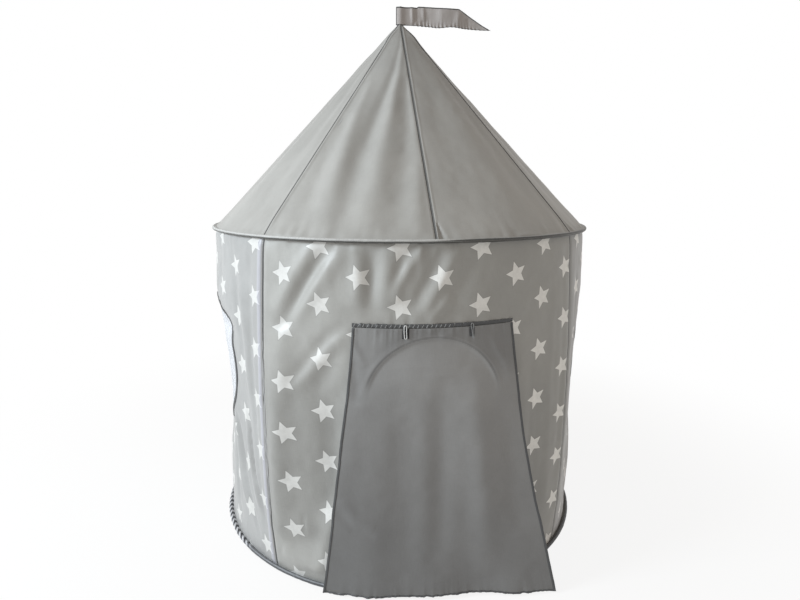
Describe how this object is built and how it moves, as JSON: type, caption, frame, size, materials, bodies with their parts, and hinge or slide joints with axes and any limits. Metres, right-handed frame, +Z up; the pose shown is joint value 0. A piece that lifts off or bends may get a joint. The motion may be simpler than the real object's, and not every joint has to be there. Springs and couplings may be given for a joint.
{
  "type": "play tent",
  "caption": "Round play tent with straight cloth walls, a cone roof, a hanging door flap, round net windows and a small flag on top.",
  "frame": {"origin": "middle of the floor, under the roof's tip, at the level the tent stands on", "axes": "+Z up along the tent's centre line, the door faces -Y, and +X is to the right of the door seen from outside"},
  "size_m": [1.0476, 1.0802, 1.4265],
  "materials": {
    "plain_cloth": "plain grey polyester, soft sheen",
    "star_cloth": "grey polyester printed with off-white stars",
    "flap_cloth": "plain darker grey polyester",
    "edge_tape": "dark grey woven tape",
    "window_net": "white fine net",
    "groundsheet_cloth": "plain dark grey coated cloth",
    "pole_rod": "smooth light grey glass-fibre rod",
    "ferrule_steel": "drawn steel tube",
    "fitting_plastic": "moulded off-white plastic",
    "tie_cord": "grey elastic cord"
  },
  "bodies": {
    "tent": {"back_wall": "star_cloth", "base_hoop": "pole_rod", "base_hoop_ferrule": "ferrule_steel", "base_piping": "edge_tape", "door_header": "edge_tape", "doorway_binding": "edge_tape", "eave_hoop": "pole_rod", "eave_hoop_ferrule": "ferrule_steel", "eave_piping": "edge_tape", "elbow_back_left": "fitting_plastic", "elbow_back_right": "fitting_plastic", "elbow_front_left": "fitting_plastic", "elbow_front_right": "fitting_plastic", "foot_cap_back_left": "fitting_plastic", "foot_cap_back_right": "fitting_plastic", "foot_cap_front_left": "fitting_plastic", "foot_cap_front_right": "fitting_plastic", "front_wall": "star_cloth", "groundsheet": "groundsheet_cloth", "hub": "fitting_plastic", "left_wall": "star_cloth", "left_window_binding": "edge_tape", "left_window_net": "window_net", "mast": "pole_rod", "rafter_back_left": "pole_rod", "rafter_back_right": "pole_rod", "rafter_front_left": "pole_rod", "rafter_front_right": "pole_rod", "rafter_sleeve_back_left": "plain_cloth", "rafter_sleeve_back_right": "plain_cloth", "rafter_sleeve_front_left": "plain_cloth", "rafter_sleeve_front_right": "plain_cloth", "right_wall": "star_cloth", "right_window_binding": "edge_tape", "right_window_net": "window_net", "roof_canopy": "plain_cloth", "upright_ferrule_back_left": "ferrule_steel", "upright_ferrule_back_right": "ferrule_steel", "upright_ferrule_front_left": "ferrule_steel", "upright_ferrule_front_right": "ferrule_steel", "upright_lower_back_left": "pole_rod", "upright_lower_back_right": "pole_rod", "upright_lower_front_left": "pole_rod", "upright_lower_front_right": "pole_rod", "upright_sleeve_back_left": "plain_cloth", "upright_sleeve_back_right": "plain_cloth", "upright_sleeve_front_left": "plain_cloth", "upright_sleeve_front_right": "plain_cloth", "upright_upper_back_left": "pole_rod", "upright_upper_back_right": "pole_rod", "upright_upper_front_left": "pole_rod", "upright_upper_front_right": "pole_rod"},
    "flap": {"door_flap": "flap_cloth"},
    "pennant": {"flag": "plain_cloth"},
    "loop_left": {"tie_loop_left": "tie_cord"},
    "loop_right": {"tie_loop_right": "tie_cord"},
    "toggle_left": {"tie_toggle_left": "tie_cord"},
    "toggle_right": {"tie_toggle_right": "tie_cord"}
  },
  "joints": [
    {"name": "flap_swing", "type": "hinge", "parent": "tent", "child": "flap", "pos_m": [0, -0.51589, 0.6487], "axis": [-1, 0, 0], "range_deg": [0, 100]},
    {"name": "flag_swivel", "type": "hinge", "parent": "tent", "child": "pennant", "pos_m": [0, 0, 1.3765], "axis": [0, 0, 1], "continuous": true},
    {"name": "loop_left_swing", "type": "hinge", "parent": "flap", "child": "loop_left", "pos_m": [-0.06734, -0.51238, 0.6476], "axis": [-0.9915, 0.1303, 0], "range_deg": [0, 70]},
    {"name": "loop_right_swing", "type": "hinge", "parent": "flap", "child": "loop_right", "pos_m": [0.08429, -0.50987, 0.6476], "axis": [-0.9866, -0.1631, 0], "range_deg": [0, 70]},
    {"name": "toggle_left_swing", "type": "hinge", "parent": "tent", "child": "toggle_left", "pos_m": [-0.06646, -0.50564, 0.657], "axis": [0.9915, -0.1303, 0], "range_deg": [0, 80]},
    {"name": "toggle_right_swing", "type": "hinge", "parent": "tent", "child": "toggle_right", "pos_m": [0.08318, -0.50316, 0.657], "axis": [0.9866, 0.1631, 0], "range_deg": [0, 80]}
  ]
}
